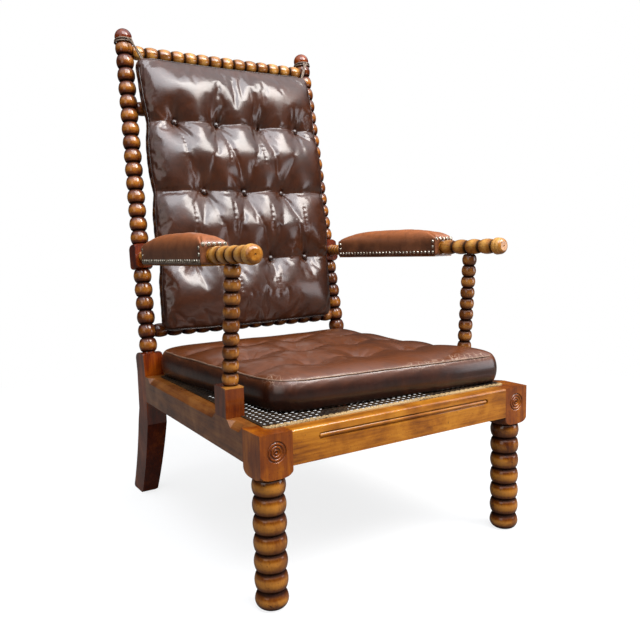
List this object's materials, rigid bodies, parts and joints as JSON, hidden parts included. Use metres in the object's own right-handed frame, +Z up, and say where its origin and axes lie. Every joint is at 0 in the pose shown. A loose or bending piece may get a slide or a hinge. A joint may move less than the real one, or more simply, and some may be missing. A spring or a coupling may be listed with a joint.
{
  "type": "bobbin chair",
  "caption": "Low open armchair of bobbin-turned wood with raked posts, caned seat, loose tufted leather seat cushion and a buttoned leather back cushion tied to the posts.",
  "frame": {"origin": "middle of the chair's box on the floor, under the feet", "axes": "+Z up, +Y towards the back, +X to the sitter's left, which is the viewer's right from the front"},
  "size_m": [0.6, 0.7488, 1.0833],
  "materials": {
    "turned_wood": "shellac polished, worn gold on the high beads, dark in the grooves",
    "cane": "aged natural cane, matte",
    "cushion_leather": "dark brown waxed hide, glossy, creased and cracked at the front edge",
    "pad_leather": "red-brown hide, worn satin",
    "nail_brass": "aged, rubbed bright",
    "thong_leather": "matte, dry",
    "screw_steel": "dull"
  },
  "bodies": {
    "frame": {"front_leg_left": "turned_wood", "front_leg_right": "turned_wood", "rear_post_left": "turned_wood", "rear_post_right": "turned_wood", "side_rail_left": "turned_wood", "side_rail_right": "turned_wood", "arm_left": "turned_wood", "arm_right": "turned_wood", "arm_support_left": "turned_wood", "arm_support_right": "turned_wood", "front_corner_block_left": "turned_wood", "front_corner_block_right": "turned_wood", "rear_corner_block_left": "turned_wood", "rear_corner_block_right": "turned_wood", "front_rail": "turned_wood", "rear_rail": "turned_wood", "crest_rail": "turned_wood", "upper_back_rail": "turned_wood", "lower_back_rail": "turned_wood", "arm_pad_left": "pad_leather", "arm_pad_right": "pad_leather", "arm_pad_nails_left": "nail_brass", "arm_pad_nails_right": "nail_brass", "corner_block_screws": "screw_steel", "cane_panel": "cane", "cane_spline": "cane", "back_tie_loop_left": "thong_leather", "back_tie_loop_right": "thong_leather"},
    "seat_cushion": {"seat_cushion": "cushion_leather", "seat_cushion_buttons": "cushion_leather"},
    "back_cushion": {"back_cushion": "cushion_leather", "back_cushion_buttons": "cushion_leather", "back_tie_strands_left": "thong_leather", "back_tie_strands_right": "thong_leather"}
  },
  "joints": [
    {"name": "back_cushion_swing", "type": "hinge", "parent": "frame", "child": "back_cushion", "pos_m": [0, 0.326, 1.0568], "axis": [-1, 0, 0], "range_deg": [0, 60]},
    {"name": "seat_cushion_lift", "type": "slide", "parent": "frame", "child": "seat_cushion", "axis": [0, -0.9397, 0.342], "range_m": [0, 0.25]}
  ]
}
